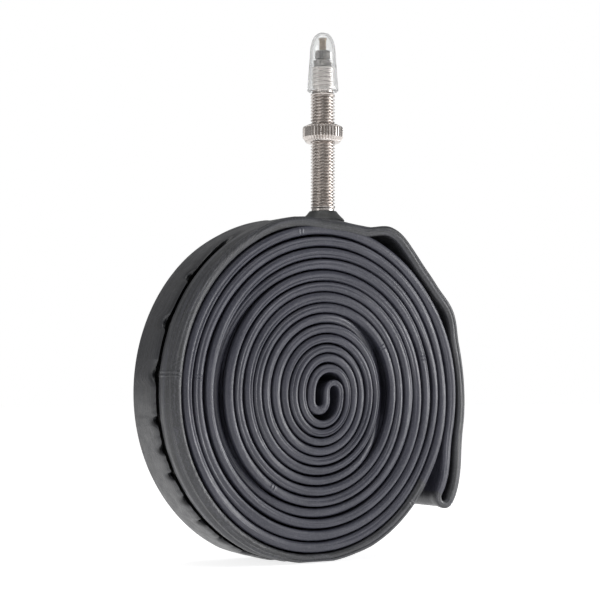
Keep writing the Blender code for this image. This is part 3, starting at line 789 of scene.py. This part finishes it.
def dust_cap():
    """Clear bullet-shaped cap with a domed top and a thicker skirt."""
    bottom, shoulder, roof = 31.7 * MM, 40.7 * MM, 46.3 * MM
    outside, inside = [], []
    steps = 12
    for i in range(steps + 1):
        turn = math.pi / 2 * i / steps
        outside.append((3.15 * MM * math.cos(turn) ** 0.8 + 0.02 * MM,
                        shoulder + (roof - shoulder) * math.sin(turn)))
        inside.append((2.5 * MM * math.cos(turn) ** 0.8 + 0.02 * MM,
                       shoulder + (roof - shoulder - 0.7 * MM) * math.sin(turn)))
    outline = [(2.74 * MM, bottom + 0.2 * MM), (2.9 * MM, bottom), (3.65 * MM, bottom),
               (3.8 * MM, bottom + 0.15 * MM), (3.8 * MM, bottom + 0.6 * MM)]
    outline += outside + inside[::-1]
    outline += [(2.55 * MM, 38 * MM), (2.74 * MM, 37.7 * MM)]
    return turned("dust_cap_clear", outline, CLEAR, 0.4 * MM, smooth_angle=60)


piece(valve_base(), "valve_base", "tube")
piece(valve_stem(), "valve_stem", "tube")
piece(rim_nut(), "rim_nut", "rim_nut")
piece(core_body(), "core_body", "core")
piece(core_nut(), "core_nut", "core_nut")
piece(core_pin(), "core_pin", "pin")
piece(dust_cap(), "dust_cap", "dust_cap")
for node in ("core_gasket", "core_seal"):
    for material_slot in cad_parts[node].material_slots:
        material_slot.material = SEAL

# ---------------------------------------------------------------- studio


AMBIENT = 0.28              # the world's light on the object, against the white that is seen
BOUNCE_LOSS = 0.45          # what white light through the cap loses after a reflection
FLOOR_HALF = 3.0
FLOOR_DROP = 0.0004         # keeps the floor clear of the roll's underside
LIGHT_TARGET = (0, 0, 0.045)


def area(name, place, size, energy):
    """White softbox that faces the object: place and size in metres, energy in watts."""
    light = bpy.data.lights.new(name, "AREA")
    light.shape = "RECTANGLE"
    light.size, light.size_y = size
    light.energy = energy
    made = bpy.data.objects.new(name, light)
    made.location = place
    facing = Vector(LIGHT_TARGET) - Vector(place)
    made.rotation_euler = facing.to_track_quat("-Z", "Y").to_euler()
    bpy.context.scene.collection.objects.link(made)


def studio():
    """White surroundings, a white floor and three softboxes."""
    world = bpy.data.worlds.new("studio")
    bpy.context.scene.world = world
    world.use_nodes = True
    tree = world.node_tree
    backdrop = tree.nodes["Background"]
    backdrop.inputs["Color"].default_value = (1, 1, 1, 1)
    rays = tree.nodes.new("ShaderNodeLightPath")

    # White straight through the clear cap, dimmer for light that was reflected on the way
    bounces = math_node(tree, "ADD", rays.outputs["Glossy Depth"], rays.outputs["Diffuse Depth"])
    straight = math_node(tree, "LESS_THAN", bounces, 0.5)
    share = math_node(tree, "ADD", math_node(tree, "MULTIPLY", straight, BOUNCE_LOSS),
                      1.0 - BOUNCE_LOSS)
    through = math_node(tree, "MULTIPLY", rays.outputs["Is Transmission Ray"], share)
    seen = math_node(tree, "MAXIMUM", rays.outputs["Is Camera Ray"], through)
    strength = tree.nodes.new("ShaderNodeMapRange")
    strength.inputs["To Min"].default_value = AMBIENT
    strength.inputs["To Max"].default_value = 1.0
    tree.links.new(seen, strength.inputs["Value"])
    tree.links.new(strength.outputs["Result"], backdrop.inputs["Strength"])

    floor = bpy.data.meshes.new("floor")
    floor.from_pydata([(-FLOOR_HALF, -FLOOR_HALF, 0), (FLOOR_HALF, -FLOOR_HALF, 0),
                       (FLOOR_HALF, FLOOR_HALF, 0), (-FLOOR_HALF, FLOOR_HALF, 0)],
                      [], [(0, 1, 2, 3)])
    made = bpy.data.objects.new("floor", floor)
    bpy.context.scene.collection.objects.link(made)
    look = Nodes("floor_white")
    look.set(Base_Color=(0.85, 0.85, 0.85, 1), Roughness=0.9, Emission_Color=(1, 1, 1, 1),
             Emission_Strength=0.78)
    floor.materials.append(look.material)
    made.location = (0, 0, -FLOOR_DROP)

    area("right_softbox", (0.66, -0.36, 0.06), (0.40, 0.5), 5.6)
    area("left_softbox", (-0.75, -0.10, 0.25), (0.3, 0.5), 0.7)
    area("top_softbox", (-0.1, -0.1, 0.8), (0.6, 0.6), 1.8)


def camera():
    """Level with the middle of the roll, to its left and in front of it."""
    yaw = math.radians(32.0)
    distance = 0.3865
    target = Vector((-0.0007, -HALF_WIDTH, MIDDLE_Z))
    place = target - distance * Vector((math.sin(yaw), math.cos(yaw), 0))
    data = bpy.data.cameras.new("camera")
    data.sensor_width = 36
    data.lens = 98
    made = bpy.data.objects.new("camera", data)
    bpy.context.scene.collection.objects.link(made)
    made.location = place
    turn, rise = math.radians(0.86), math.radians(3.13)     # puts the roll below the middle
    made.rotation_euler = (math.radians(90) + rise, 0, -yaw + turn)
    bpy.context.scene.camera = made


studio()
camera()
bpy.context.scene.view_settings.view_transform = "Standard"
